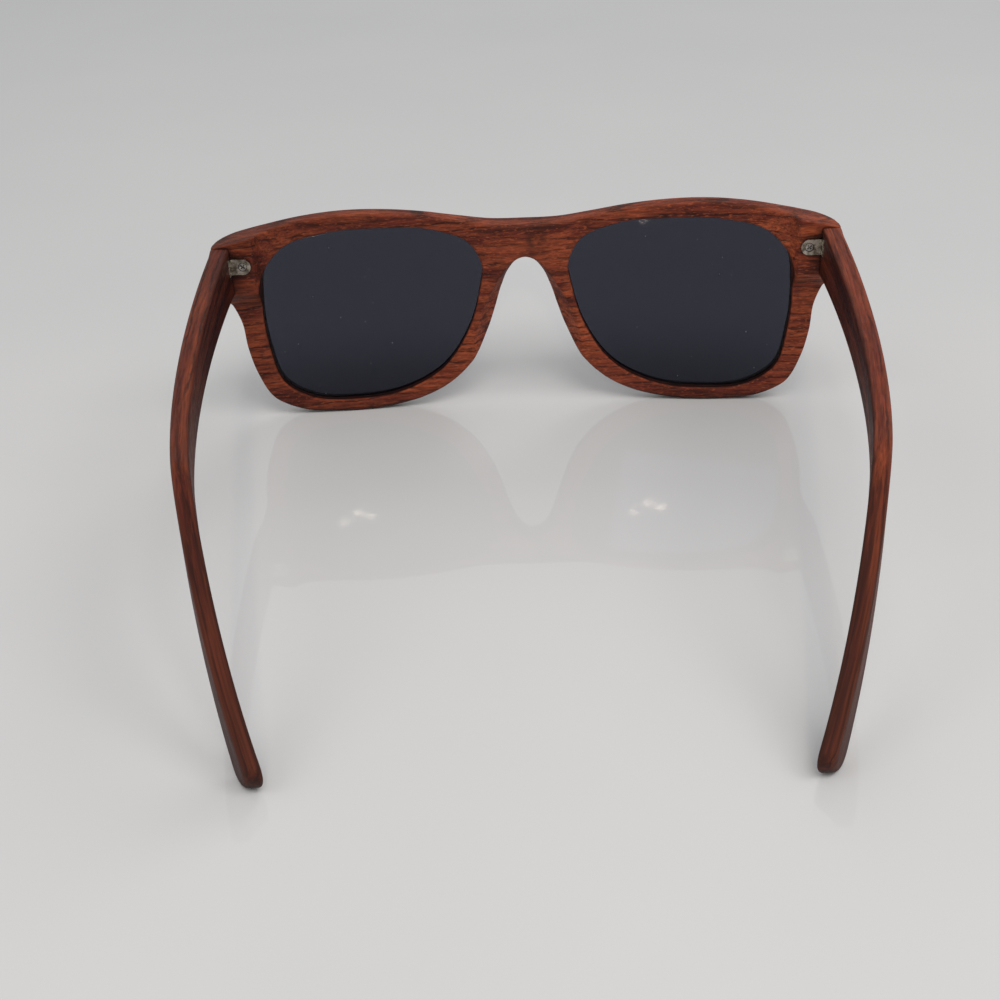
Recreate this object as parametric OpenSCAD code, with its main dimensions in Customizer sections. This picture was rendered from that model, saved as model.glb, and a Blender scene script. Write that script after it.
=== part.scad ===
// Wooden sunglasses: a one-piece bowed front, two tinted lenses and two bent temples,
// each temple hung on a small barrel hinge that is screwed to the wood.
// X runs across the face, Y the way the glasses look, and Z up from the table.

/* [Front] */
// Width over the two end pieces
front_w = 144; // [140:1:150]
// Thickness of the rims, front to back
front_t = 4.2; // [3.8:0.1:5]
// Radius of the front's bow, seen from above
bow_r = 600; // [450:10:900]
// Thickness of the wood at the bridge, front to back
bridge_t = 6; // [5:0.1:7]
// Width over which the bridge is thicker than the rims
bridge_pad_w = 30; // [24:1:36]
// Height of the wood above the lens opening
brow_h = 3.7; // [3:0.1:5]
// Width of the wood beside the lens opening
rim_w = 4.4; // [3.8:0.1:5]
// Height of the wood below the lens opening
rim_h = 3.1; // [2.6:0.1:4]
// How far the top of the bridge dips below the brow
bridge_dip = 3.85; // [2:0.05:5]
// Height of the wood of the bridge above the nose arch
bridge_h = 8.4; // [7:0.1:10]
// Width of the bevel that is carved along each side of the nose
nose_bevel = 3.8; // [2:0.1:4.2]

/* [End pieces] */
// Width of the wood from a lens opening to the end of the front
end_w = 9.3; // [8.5:0.1:11]
// Depth of the end block, front to back
block_t = 9; // [8:0.1:10]
// Run of the steep step from the end block to the rim
step_run = 1.8; // [1:0.1:3]
// Length of the hollow between the step and the rim
scoop_l = 9; // [6:0.5:12]
// Radius of the outer front corner, seen from above
corner_r = 6; // [4:0.5:7]
// Height of the end piece and of the temple's end
end_h = 11.6; // [10.5:0.1:13]
// How far the end piece's top lies below the brow
end_drop = 4.6; // [3:0.1:5.5]

/* [Lenses] */
// Height of one lens opening
lens_h = 43.6; // [41:0.2:46]
// Distance between the two lens openings
bridge_w = 20.6; // [19:0.2:22]
// Thickness of a lens
lens_t = 1.8; // [1.4:0.1:2]
// Radius of the lens's back surface
lens_r = 265; // [200:5:400]
// Distance from the wood's back face forward to the back of the lens's middle
lens_set = 2.9; // [2.6:0.1:3.1]
// Depth of the groove that holds the lens's edge
groove_d = 0.8; // [0.5:0.1:1.2]
// Clearance of the lens in its groove
lens_gap = 0.05; // [0.02:0.01:0.1]

/* [Temples] */
// Length of a temple from its joint to its tip, along the side of the head
temple_l = 135.5; // [125:0.5:150]
// Thickness of the temple at its joint
temple_t = 4.3; // [4:0.1:5]
// Thickness of the temple at its tip
tip_t = 2.9; // [2.5:0.1:4]
// Height of the temple at its tip
tip_h = 7.5; // [6:0.1:9]
// How far the tip leans in towards the head
tip_in = 23; // [14:0.5:26]
// Distance from the joint to the start of the bend behind the ear
bend_at = 94; // [80:1:100]
// Length over which the bend rounds off
bend_soft = 17; // [8:1:24]
// Fall of the temple before the bend
temple_fall = 2.8; // [0:0.1:4]
// Gap between the temple's end and the end block
joint_gap = 0.3; // [0.3:0.05:0.6]

/* [Hinges] */
// Diameter of the hinge barrel
barrel_d = 2; // [2:0.1:2.6]
// Height of one of the three knuckles
knuckle_h = 1.1; // [1.1:0.1:1.6]
// Gap between two knuckles
knuckle_gap = 0.1; // [0.08:0.01:0.15]
// Diameter of the hinge screw's shank
pin_d = 1; // [0.9:0.1:1.2]
// Running clearance around the hinge screw
pin_gap = 0.04; // [0.02:0.01:0.08]
// Clearance around the moving barrel
swing_gap = 0.3; // [0.3:0.05:0.5]
// Thickness of a hinge leaf
leaf_t = 1.3; // [1.1:0.1:1.5]
// Height of the front leaf
leaf_h = 3.7; // [3.4:0.1:4.2]
// How far the front leaf stands out of the wood
leaf_proud = 0.7; // [0.5:0.1:0.9]
// Distance of the front leaf's screw from the plane of the temple's inner face
leaf_screw_in = 2.65; // [2.4:0.05:3]
// Wood left beside the front leaf, up to the end block's step
leaf_edge = 0.4; // [0.3:0.05:1.5]
// Thickness of the temple leaf
tongue_t = 1; // [0.8:0.1:1.2]
// Height of the temple leaf
tongue_h = 3.2; // [2.8:0.1:3.6]
// Length of the temple leaf behind the room for the barrel
tongue_l = 8; // [7:0.5:10]
// Depth of the hinge axis behind the temple's inner face
axis_in = 0.95; // [0.85:0.05:1.1]
// Cut of the temple's inner front edge, which lets it turn past the end block
turn_cut = 0.6; // [0.5:0.1:0.8]
// Height of the hinge's middle below the end piece's top
hinge_drop = 4.4; // [4:0.1:6]

/* [Screws] */
// Diameter of a leaf screw's shank
screw_d = 1; // [0.8:0.1:1.2]
// Diameter of a screw's head
head_d = 1.8; // [1.6:0.1:2]
// Height of a screw's head
head_h = 0.5; // [0.4:0.05:0.6]
// Length of the front leaf's screw below its head
front_screw_l = 4.5; // [3:0.5:5]
// Clearance around a screw's shank, and around a leaf in the wood
screw_gap = 0.05; // [0.02:0.01:0.08]
// Clearance around a leaf screw's head, and how far it is sunk
head_gap = 0.14; // [0.08:0.01:0.15]
// Width and depth of the cuts in a screw's head
slot_w = 0.3; // [0.2:0.05:0.35]
// Length of a cut of the cross in a leaf screw's head
cross_l = 1.2; // [0.8:0.1:1.4]
// Turn of the cross in a leaf screw's head
cross_turn = 40; // [0:5:85]

/* [Hidden] */
$fn = 48;
// Facets of the large round faces
fine = 180;
// Points drawn between two points of an outline
steps = 6;
// Overrun of a cut past the face that it cuts
over = 1;

// Heights of the front
brow_z = rim_h + lens_h + brow_h;
bridge_z = brow_z - bridge_dip;
arch_z = bridge_z - bridge_h;
end_z = brow_z - end_drop;

// Half the width, and the swell of the bridge behind the rims
end_x = front_w / 2;
pad_d = bridge_t - front_t;
pad_r = (pow(bridge_pad_w / 2, 2) + pow(pad_d, 2)) / (2 * pad_d);

// Width of one lens opening, and the place of the right lens
lens_w = (front_w - bridge_w) / 2 - end_w;
lens_x = (bridge_w + lens_w) / 2;
lens_z = rim_h + lens_h / 2;
lens_turn = asin(lens_x / bow_r);

// Place of the right end block, which has room for the front leaf and for its screw
inner_x = end_x - temple_t;
front_screw_x = inner_x - leaf_screw_in;
block_x = front_screw_x - leaf_h / 2 - leaf_edge;
block_l = end_x - block_x;
block_y = face_y(block_x) - block_t;

// Place of the right hinge and of its leaves
swing_r = barrel_d / 2 + swing_gap;
leaf_back = block_y - leaf_proud;
axis_x = inner_x + axis_in;
axis_y = leaf_back - axis_in - swing_gap;
hinge_z = end_z - hinge_drop;
barrel_h = 3 * knuckle_h + 2 * knuckle_gap;
notch_low = max(barrel_h, leaf_h) / 2 + swing_gap;
notch_high = max(barrel_h / 2 + head_h, leaf_h / 2) + swing_gap;
tongue_x = axis_x + barrel_d / 2 - tongue_t;

// Line of the right temple
joint_y = block_y - joint_gap;
line_l = temple_l - tip_h / 2;
line_top = end_z - end_h / 2;
line_samples = 48;

// Middle of the object's box, so that the model stands over the origin
centre_y = (front_t + joint_y - temple_l) / 2;

// Back and front of the bowed front at a distance from the middle
function back_y(x) = sqrt(pow(bow_r, 2) - x * x) - bow_r;
function face_y(x) = sqrt(pow(bow_r + front_t, 2) - x * x) - bow_r;

// A point of the lens opening's box, as shares of its width and height
function at_lens(u, v) = [bridge_w / 2 + lens_w * u, rim_h + lens_h * v];

// Slope of a smooth line at its middle one of three points
function bend_slope(a, b, c) =
  let (d1 = norm(b - a), d2 = norm(c - b))
  ((b - a) * d2 / d1 + (c - b) * d1 / d2) / (d1 + d2);

// Slope at a point of an open line
function open_slope(p, i) =
  i == 0 ? (p[1] - p[0]) / norm(p[1] - p[0]) :
  i == len(p) - 1 ? (p[i] - p[i - 1]) / norm(p[i] - p[i - 1]) :
  bend_slope(p[i - 1], p[i], p[i + 1]);

// A point between two points of a smooth line, from their slopes
function between(a, b, slope_a, slope_b, t) =
  let (d = norm(b - a))
  a * (2 * pow(t, 3) - 3 * t * t + 1) + slope_a * d * (pow(t, 3) - 2 * t * t + t)
  + b * (3 * t * t - 2 * pow(t, 3)) + slope_b * d * (pow(t, 3) - t * t);

// A smooth open line through points
function smooth_line(p) = [
  for (i = [0 : len(p) - 2]) for (k = [0 : steps - 1])
    between(p[i], p[i + 1], open_slope(p, i), open_slope(p, i + 1), k / steps),
  p[len(p) - 1]
];

// A smooth closed line through points
function smooth_loop(p) =
  let (n = len(p))
  [
    for (i = [0 : n - 1]) for (k = [0 : steps - 1])
      let (j = (i + 1) % n)
      between(
        p[i], p[j],
        bend_slope(p[(i + n - 1) % n], p[i], p[j]),
        bend_slope(p[i], p[j], p[(j + 1) % n]),
        k / steps
      )
  ];

// A clockwise closed line, moved outwards by a distance
function outset(p, d) =
  let (n = len(p))
  [
    for (i = [0 : n - 1])
      let (run = p[(i + 1) % n] - p[(i + n - 1) % n])
      p[i] + [-run[1], run[0]] * d / norm(run)
  ];

// The right half's points, mirrored to the left and turned round, without the middle one
function left_of(p) = [for (i = [len(p) - 1 : -1 : 0]) if (p[i][0] > 0) [-p[i][0], p[i][1]]];

// The right lens opening, clockwise from the middle of its top
lens_edge = smooth_loop([
  at_lens(0.44, 1), at_lens(0.72, 0.984), at_lens(0.88, 0.93), at_lens(0.97, 0.815),
  at_lens(1, 0.6), at_lens(0.99, 0.36), at_lens(0.935, 0.125), at_lens(0.82, 0.03),
  at_lens(0.61, 0), at_lens(0.38, 0.04), at_lens(0.2, 0.163), at_lens(0.08, 0.37),
  at_lens(0.015, 0.615), at_lens(0, 0.78), at_lens(0.045, 0.885), at_lens(0.2, 0.972)
]);

// The front's top edge from the bridge to the right end piece
top_half = [
  [0, bridge_z],
  [bridge_w * 0.4, bridge_z + bridge_dip * 0.05],
  [bridge_w * 0.75, bridge_z + bridge_dip * 0.32],
  [at_lens(0.27, 1)[0], brow_z - bridge_dip * 0.3],
  [at_lens(0.45, 1)[0], brow_z - bridge_dip * 0.05],
  [at_lens(0.62, 1)[0], brow_z],
  [at_lens(0.81, 1)[0], brow_z - end_drop * 0.18],
  [at_lens(0.98, 1)[0], brow_z - end_drop * 0.52],
  [end_x - block_l * 0.65, end_z + end_drop * 0.28],
  [end_x, end_z]
];

// The front's lower edge from the right end piece round the rim to the nose arch
low_half = [
  [end_x, end_z - end_h],
  [end_x - block_l * 0.25, end_z - end_h * 1.33],
  at_lens(1, 0.52) + [rim_w * 1.2, 0],
  at_lens(0.993, 0.36) + [rim_w * 1.12, 0],
  at_lens(0.96, 0.2) + [rim_w * 1.15, 0],
  at_lens(0.91, 0.085) + [rim_w * 0.98, -rim_h * 0.58],
  at_lens(0.84, 0.035) + [rim_w * 0.4, -rim_h * 1.02],
  at_lens(0.72, 0.006) + [0, -rim_h],
  at_lens(0.6, 0) + [0, -rim_h],
  at_lens(0.435, 0.021) + [0, -rim_h],
  at_lens(0.3, 0.07) + [-rim_w * 0.1, -rim_h * 1.06],
  at_lens(0.19, 0.155) + [-rim_w * 0.32, -rim_h * 1.1],
  [bridge_w * 0.76, rim_h + lens_h * 0.143],
  [bridge_w * 0.575, rim_h + lens_h * 0.258],
  [bridge_w * 0.452, rim_h + lens_h * 0.38],
  [bridge_w * 0.365, rim_h + lens_h * 0.5],
  [bridge_w * 0.282, arch_z * 0.8],
  [bridge_w * 0.19, arch_z * 0.923],
  [bridge_w * 0.1, arch_z * 0.982],
  [0, arch_z]
];

front_edge = concat(
  smooth_line(concat(left_of(top_half), top_half)),
  smooth_line(concat(low_half, left_of(low_half)))
);

// Share of the lean towards the head at a share of the temple's length
function lean(t) = 0.66 * t * t + 0.34 * pow(t, 6);

// Fall behind the bend at a distance along the temple
function fall(s) = let (d = max(0, s - bend_at)) d * d / (d + bend_soft);

// The temple's line seen from above, and from the side, at a distance behind the joint
function plan_point(s) = [end_x - temple_t / 2 - tip_in * lean(s / temple_l), joint_y - s];
function side_point(s) = [
  joint_y - s,
  line_top - temple_fall * s / line_l
  - (line_top - temple_fall - tip_h / 2) * fall(s) / fall(line_l)
];

// Half a circle round the last point of a line, from its left side to its right side
function round_end(p, d) =
  let (
    n = len(p) - 1,
    run = (p[n] - p[n - 1]) / norm(p[n] - p[n - 1])
  )
  [for (a = [5 : 5 : 175]) p[n] + ([-run[1], run[0]] * cos(a) + run * sin(a)) * d / 2];

// A band of changing width along a line of points, as a closed outline with points at its end
function band(p, w_start, w_end, end_points) =
  let (
    n = len(p) - 1,
    half = [for (i = [0 : n]) (w_start + (w_end - w_start) * i / n) / 2],
    turn = [for (i = [0 : n]) p[min(i + 1, n)] - p[max(i - 1, 0)]],
    out = [for (i = [0 : n]) [-turn[i][1], turn[i][0]] / norm(turn[i]) * half[i]]
  )
  concat([for (i = [0 : n]) p[i] + out[i]], end_points, [for (i = [n : -1 : 0]) p[i] - out[i]]);

// Draws its children for the right side and mirrored for the left side
module both_sides() {
  children();
  mirror([1, 0, 0]) children();
}

// Moves a piece drawn around the bridge so that the model's box is centred
module placed() {
  translate([0, -centre_y, 0]) children();
}

// An outline in the X and Z plane, made solid from a near to a far depth
module across_y(points, near, far) {
  translate([0, far, 0]) rotate([90, 0, 0]) linear_extrude(height = far - near) polygon(points);
}

// An outline seen from above, made solid over the whole height
module over_z(points) {
  translate([0, 0, -over]) linear_extrude(height = brow_z + 2 * over) polygon(points);
}

// Upright cylinder whose face is the bowed front's back, or its front face
module bow(extra) {
  translate([0, -bow_r, -over]) cylinder(r = bow_r + extra, h = brow_z + 2 * over, $fn = fine);
}

// Thicker wood at the bridge, which swells towards the nose
module bridge_pad() {
  intersection() {
    translate([0, pad_r - pad_d, -over]) cylinder(r = pad_r, h = brow_z + 2 * over, $fn = fine);
    across_y(front_edge, -pad_d - over, front_t / 2);
  }
}

// Thick block at the right end, with its step and hollow towards the rim
module end_block() {
  inside_y = back_y(end_x) + front_t * 0.6;
  step_x = block_x - step_run;
  step_y = (block_y + back_y(step_x)) / 2;
  scoop_x = step_x - scoop_l;
  low_z = end_z - end_h;
  intersection() {
    across_y(front_edge, block_y - over, front_t);
    over_z([
      [end_x, inside_y], [end_x, block_y], [block_x, block_y], [step_x, step_y],
      [step_x - scoop_l * 0.4, back_y(step_x) * 0.75 + step_y * 0.25],
      [scoop_x, back_y(scoop_x)], [scoop_x, inside_y]
    ]);
    translate([0, 0, low_z]) rotate([90, 0, 90]) linear_extrude(height = end_x + over)
      polygon([
        [inside_y, end_h + end_drop], [block_y, end_h + end_drop], [block_y, 0],
        [inside_y, block_y - inside_y]
      ]);
  }
}

// What is cut away to round the right outer corner, seen from above
module corner_cut() {
  mid_x = end_x - corner_r;
  mid_y = sqrt(pow(bow_r + front_t - corner_r, 2) - mid_x * mid_x) - bow_r;
  reach = corner_r * 2;
  out = [mid_x, mid_y + bow_r] / (bow_r + front_t - corner_r) * reach;
  difference() {
    over_z([
      [mid_x, mid_y], [mid_x, mid_y] + out, [mid_x + reach, mid_y + reach], [mid_x + reach, mid_y]
    ]);
    translate([mid_x, mid_y, -2 * over]) cylinder(r = corner_r, h = brow_z + 4 * over);
  }
}

// Curved plate between the lens's two surfaces, wider by a clearance on both faces
module lens_shell(gap) {
  translate([0, -bow_r, lens_z]) rotate([0, 0, -lens_turn])
    translate([0, bow_r + lens_set - lens_r, 0]) difference() {
      sphere(r = lens_r + lens_t + gap, $fn = fine);
      sphere(r = lens_r - gap, $fn = fine);
    }
}

// The right lens, or the room for it, from its edge's depth in the groove and its clearance
module lens_body(depth, gap) {
  intersection() {
    across_y(outset(lens_edge, depth), back_y(end_x) - over, front_t + lens_t);
    lens_shell(gap);
  }
}

// A point beside the nose, as shares of half the bridge's width and of the arch's height
function at_nose(u, v) = [bridge_w / 2 * u, arch_z * v];

// Opening carved for the nose, wider at the back so that each side has a bevel
module nose_cut() {
  bevel = [nose_bevel, 0];
  deep = [
    at_nose(0, 1.013), at_nose(0.18, 1.005), at_nose(0.3, 0.982),
    at_nose(0.53, 0.763) + bevel, at_nose(0.75, 0.63) + bevel, at_nose(0.87, 0.5) + bevel,
    at_nose(0.95, 0.34) + bevel, at_nose(0.95, 0.18) + bevel
  ];
  shallow = [
    at_nose(0, 0.968), at_nose(0.26, 0.93), at_nose(0.5, 0.8), at_nose(0.7, 0.657),
    at_nose(0.85, 0.51), at_nose(0.98, 0.393), at_nose(1, 0.18)
  ];
  hull() {
    across_y(concat(left_of(deep), deep), -pad_d - over, -pad_d * 0.65);
    across_y(concat(left_of(shallow), shallow), front_t * 0.7, front_t * 0.75);
  }
}

// Outline of the right front leaf: round at the lens side, square at the barrel
module leaf_outline(gap) {
  translate([front_screw_x, hinge_z]) circle(d = leaf_h + 2 * gap);
  translate([front_screw_x, hinge_z - leaf_h / 2 - gap])
    square([axis_x + barrel_d / 2 - front_screw_x + gap, leaf_h + 2 * gap]);
}

// Plate of the right front leaf, or the pocket for it, from its back face to a depth
module leaf_plate(gap) {
  translate([0, leaf_back + leaf_t + gap, 0]) rotate([90, 0, 0])
    linear_extrude(height = leaf_t + gap) leaf_outline(gap);
}

// Upright cylinder on the right hinge's axis, between two heights above the hinge's middle
module on_axis(d, low, high) {
  translate([axis_x, axis_y, hinge_z + low]) cylinder(d = d, h = high - low);
}

// Tongue of the right temple leaf, or the slot for it, up to a distance from the axis
module tongue(gap, front) {
  back = swing_r + tongue_l + gap;
  translate([tongue_x - gap, axis_y - back, hinge_z - tongue_h / 2 - gap])
    cube([tongue_t + 2 * gap, back + front, tongue_h + 2 * gap]);
}

// Room for the barrel in the temple's inner front edge, and the cut of that edge
module hinge_notch() {
  translate([inner_x - over, axis_y - swing_r, hinge_z - notch_low])
    cube([axis_in + swing_r + over, joint_y - axis_y + swing_r + over, notch_low + notch_high]);
  over_z([
    [inner_x - over, joint_y - turn_cut - over], [inner_x + turn_cut + over, joint_y + over],
    [inner_x - over, joint_y + over]
  ]);
}

// A screw along Z with its head's top at the origin and its shank downwards
module screw_body(shank_d, shank_l) {
  translate([0, 0, -head_h]) cylinder(d = head_d, h = head_h);
  translate([0, 0, -head_h - shank_l]) cylinder(d = shank_d, h = shank_l + head_h / 2);
}

// Cut for a screwdriver in the top of a head
module driver_cut(l) {
  translate([-l / 2, -slot_w / 2, -slot_w]) cube([l, slot_w, slot_w + over]);
}

// A leaf screw, with a cross in its head
module leaf_screw(shank_l) {
  difference() {
    screw_body(screw_d, shank_l);
    for (turn = [cross_turn, cross_turn + 90]) rotate([0, 0, turn]) driver_cut(cross_l);
  }
}

// Hole for a leaf screw along Z, with a sunk seat for its head
module screw_hole(shank_l) {
  translate([0, 0, -head_h]) cylinder(d = head_d + 2 * head_gap, h = head_h + over);
  translate([0, 0, -head_h - shank_l - screw_gap])
    cylinder(d = screw_d + 2 * screw_gap, h = shank_l + over);
}

// Place of the right front leaf's screw, with the screw's axis pointing out of the wood
module at_front_screw() {
  translate([front_screw_x, leaf_back + head_gap, hinge_z]) rotate([90, 0, 0]) children();
}

// The wooden front, carved from one board
module front_frame() {
  color("sienna") placed() difference() {
    union() {
      intersection() {
        across_y(front_edge, back_y(end_x) - over, front_t + over);
        difference() {
          bow(front_t);
          bow(0);
        }
      }
      bridge_pad();
      both_sides() end_block();
    }
    both_sides() {
      corner_cut();
      across_y(lens_edge, block_y - over, front_t + over);
      lens_body(groove_d, lens_gap);
      leaf_plate(screw_gap);
      at_front_screw() screw_hole(front_screw_l);
    }
    nose_cut();
  }
}

// A lens: a slice of a ball's shell, cut to the opening and its groove
module right_lens() {
  color([0.2, 0.21, 0.24, 0.8]) placed() lens_body(groove_d - lens_gap, 0);
}

// A temple: its side view and its view from above, cut out of one bar of wood
module right_temple() {
  lead = 2 * joint_gap;
  plan = [for (i = [0 : line_samples]) plan_point(i * (temple_l + tip_t) / line_samples)];
  side = [for (i = [0 : line_samples]) side_point(-lead + i * (line_l + lead) / line_samples)];
  color("sienna") placed() difference() {
    intersection() {
      over_z(band(plan, temple_t, tip_t, []));
      rotate([90, 0, 90]) linear_extrude(height = end_x + over)
        polygon(band(side, end_h, tip_h, round_end(side, tip_h)));
    }
    hinge_notch();
    tongue(screw_gap, 0);
  }
}

// Front leaf: a round-ended plate with the upper and the lower knuckle on short necks
module right_front_leaf() {
  color("silver") placed() difference() {
    union() {
      leaf_plate(0);
      for (side = [-1, 1]) {
        low = side * (knuckle_h + knuckle_gap) - knuckle_h / 2;
        on_axis(barrel_d, low, low + knuckle_h);
        translate([axis_x - barrel_d / 2, axis_y, hinge_z + low])
          cube([barrel_d, leaf_back + leaf_t / 2 - axis_y, knuckle_h]);
      }
    }
    on_axis(pin_d + 2 * pin_gap, -barrel_h, barrel_h);
    on_axis(2 * swing_r, -knuckle_h / 2 - knuckle_gap, knuckle_h / 2 + knuckle_gap);
    at_front_screw() screw_hole(front_screw_l);
  }
}

// Temple leaf: a tongue in a slot of the temple, with the middle knuckle
module right_temple_leaf() {
  color("silver") placed() difference() {
    union() {
      tongue(0, -swing_r);
      on_axis(barrel_d, -knuckle_h / 2, knuckle_h / 2);
      translate([tongue_x, axis_y - swing_r - over, hinge_z - knuckle_h / 2])
        cube([tongue_t, swing_r + over, knuckle_h]);
    }
    on_axis(pin_d + 2 * pin_gap, -barrel_h, barrel_h);
  }
}

// Hinge screw: dropped in from above, its head on the upper knuckle
module right_hinge_screw() {
  color("lightgray") placed() translate([axis_x, axis_y, hinge_z + barrel_h / 2 + head_h])
    difference() {
      screw_body(pin_d, barrel_h);
      driver_cut(2 * head_d);
    }
}

// Wood screw that holds the front leaf on the end block
module right_front_leaf_screw() {
  color("lightgray") placed() at_front_screw() leaf_screw(front_screw_l);
}

// The left side is the right side, mirrored
module left_lens() {
  mirror([1, 0, 0]) right_lens();
}

module left_temple() {
  mirror([1, 0, 0]) right_temple();
}

module left_front_leaf() {
  mirror([1, 0, 0]) right_front_leaf();
}

module left_temple_leaf() {
  mirror([1, 0, 0]) right_temple_leaf();
}

module left_hinge_screw() {
  mirror([1, 0, 0]) right_hinge_screw();
}

module left_front_leaf_screw() {
  mirror([1, 0, 0]) right_front_leaf_screw();
}

front_frame();
left_lens();
right_lens();
left_temple();
right_temple();
left_front_leaf();
right_front_leaf();
left_temple_leaf();
right_temple_leaf();
left_hinge_screw();
right_hinge_screw();
left_front_leaf_screw();
right_front_leaf_screw();
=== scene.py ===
"""Looks of the wooden sunglasses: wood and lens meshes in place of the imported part's nodes, procedural
materials for every piece, a pale table, light and the camera."""

from math import asin, cos, hypot, pi, radians, sin, sqrt

import bmesh
import bpy
import numpy as np
from mathutils import Matrix, Vector
from mathutils.geometry import delaunay_2d_cdt
from mathutils.kdtree import KDTree


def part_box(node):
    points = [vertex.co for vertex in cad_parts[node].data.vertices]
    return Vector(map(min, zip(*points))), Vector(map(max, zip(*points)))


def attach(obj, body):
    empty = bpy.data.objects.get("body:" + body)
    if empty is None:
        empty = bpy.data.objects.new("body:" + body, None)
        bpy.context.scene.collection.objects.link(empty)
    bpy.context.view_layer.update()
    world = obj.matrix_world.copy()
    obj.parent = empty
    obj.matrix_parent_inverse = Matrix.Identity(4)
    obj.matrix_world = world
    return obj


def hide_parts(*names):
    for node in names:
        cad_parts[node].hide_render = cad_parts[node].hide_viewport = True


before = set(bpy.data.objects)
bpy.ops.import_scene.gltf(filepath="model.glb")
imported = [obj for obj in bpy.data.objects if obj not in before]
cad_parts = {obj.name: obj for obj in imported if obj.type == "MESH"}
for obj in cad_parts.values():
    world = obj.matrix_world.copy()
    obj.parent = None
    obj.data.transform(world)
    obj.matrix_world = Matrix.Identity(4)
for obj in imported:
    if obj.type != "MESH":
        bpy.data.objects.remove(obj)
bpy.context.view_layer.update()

MM = 0.001

# Sizes in millimetres, as in the part's source. Depth is 0 at the middle of the rims' back and
# grows to the front; the meshes are moved into the frame when they are made.
FRONT_W = 144.0
FRONT_T = 4.2
BOW_R = 600.0
CORNER_R = 6.0
BRIDGE_W = 20.6
BRIDGE_H = 8.4
BRIDGE_DIP = 3.85
BRIDGE_PAD_W = 30.0
BRIDGE_PAD_D = 1.8
BROW_H = 3.7
RIM_W = 4.4
RIM_H = 3.1
END_W = 9.3
END_H = 11.6
END_DROP = 4.6
BLOCK_L = 9.2
STEP_RUN = 1.8
SCOOP_L = 9.0
LENS_H = 43.6
LENS_T = 1.8
LENS_R = 265.0
LENS_SET = 2.9
LENS_SUNK = 0.75
TEMPLE_L = 135.5
TEMPLE_T = 4.3
TEMPLE_FALL = 2.8
TIP_T = 2.9
TIP_H = 7.5
TIP_IN = 23.0
BEND_AT = 94.0
BEND_SOFT = 17.0
JOINT_GAP = 0.3
SWING_R = 1.3
NOTCH_LOW = 2.15
NOTCH_HIGH = 2.55

# Shares: how much of a temple's turn inwards comes early along it, and where the scoop beside an end block
# has its knee and how deep that is
EARLY_IN = 0.66
SCOOP_KNEE_AT = 0.4
SCOOP_KNEE_DEEP = 0.25

# Bevels beside the nose: their width and depth, the heights between which these grow and from which they
# taper towards the arch, and by what share.
NOSE_FOOT_Z = 10.0
NOSE_BEVEL_W = 3.4
NOSE_WIDE_FROM = 19.0
NOSE_WIDE_TO = 24.0
NOSE_WIDE_TAPER = 0.85
NOSE_BEVEL_D = 3.75
NOSE_DEEP_FROM = 18.5
NOSE_DEEP_TO = 27.0
NOSE_DEEP_TAPER = 0.67
NOSE_FOOT_Y = -1.2
NOSE_INNER_SHARE = 0.65
NOSE_LEAST_W = 0.01
NOSE_LEAST_D = 0.1

# Rounded edges and soft joins between surfaces, in millimetres
FRONT_EDGE_R = 0.6
BLOCK_SHARPER = 0.25
BLOCK_EDGE_RUN = 3.0
NOSE_SHARPER = 0.2
NOSE_EDGE_REACH = 1.0
OPENING_EDGE_R = 0.45
FACE_EDGE_SHARE = 0.7
LENS_EDGE_R = 0.15
TEMPLE_EDGE_R = 0.9
JOINT_INNER_R = 0.6
JOINT_OUTER_R = 0.3
JOINT_EDGE_FROM = 0.2
JOINT_EDGE_TO = 4.0
SOFT_JOIN = 0.25
SOFT_BLOCK = 0.3
SCOOP_CLEAR_RUN = 5.0
SCOOP_CLEAR_RISE = 2.0
GROOVE_EDGE = 0.35
HARDWARE_BEVEL = 0.12

# Wear that a rounded edge has all over, as a share
LEAST_WEAR = 0.3

# Fineness of the meshes: gaps between points in millimetres, counts of steps, and how clear of an edge other
# points stay, as a share of a gap
FRONT_EDGE_GAP = 0.6
FRONT_MESH_GAP = 0.45
LENS_MESH_GAP = 1.0
TEMPLE_EDGE_GAP = 0.7
TEMPLE_MESH_GAP = 0.8
NOSE_LINE_GAP = 0.1
CURVE_STEPS = 12
PLAN_STEPS = 120
LINE_STEPS = 160
TIP_STEPS = 40
EDGE_STEPS = 5
CLEAR_OF_EDGE = 0.6
SAME_POINT = 1e-7
CUT_SPARE = 1.0

END_X = FRONT_W / 2
LENS_W = END_X - BRIDGE_W / 2 - END_W
BROW_Z = RIM_H + LENS_H + BROW_H
BRIDGE_Z = BROW_Z - BRIDGE_DIP
ARCH_Z = BRIDGE_Z - BRIDGE_H
END_Z = BROW_Z - END_DROP
LOW_Z = END_Z - END_H
LENS_X = BRIDGE_W / 2 + LENS_W / 2
LENS_Z = RIM_H + LENS_H / 2
BACK_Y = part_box("front_frame")[1].y / MM - FRONT_T
BLOCK_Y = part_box("front_frame")[0].y / MM - BACK_Y
JOINT_Y = BLOCK_Y - JOINT_GAP
INNER_X = END_X - TEMPLE_T
LINE_L = TEMPLE_L - TIP_H / 2
LINE_TOP = END_Z - END_H / 2


# Outlines

def at_lens(u, v, dx=0.0, dz=0.0):
    """A point of the right half at a share of the lens opening's width and height."""
    return (BRIDGE_W / 2 + LENS_W * u + dx, RIM_H + LENS_H * v + dz)


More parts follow.
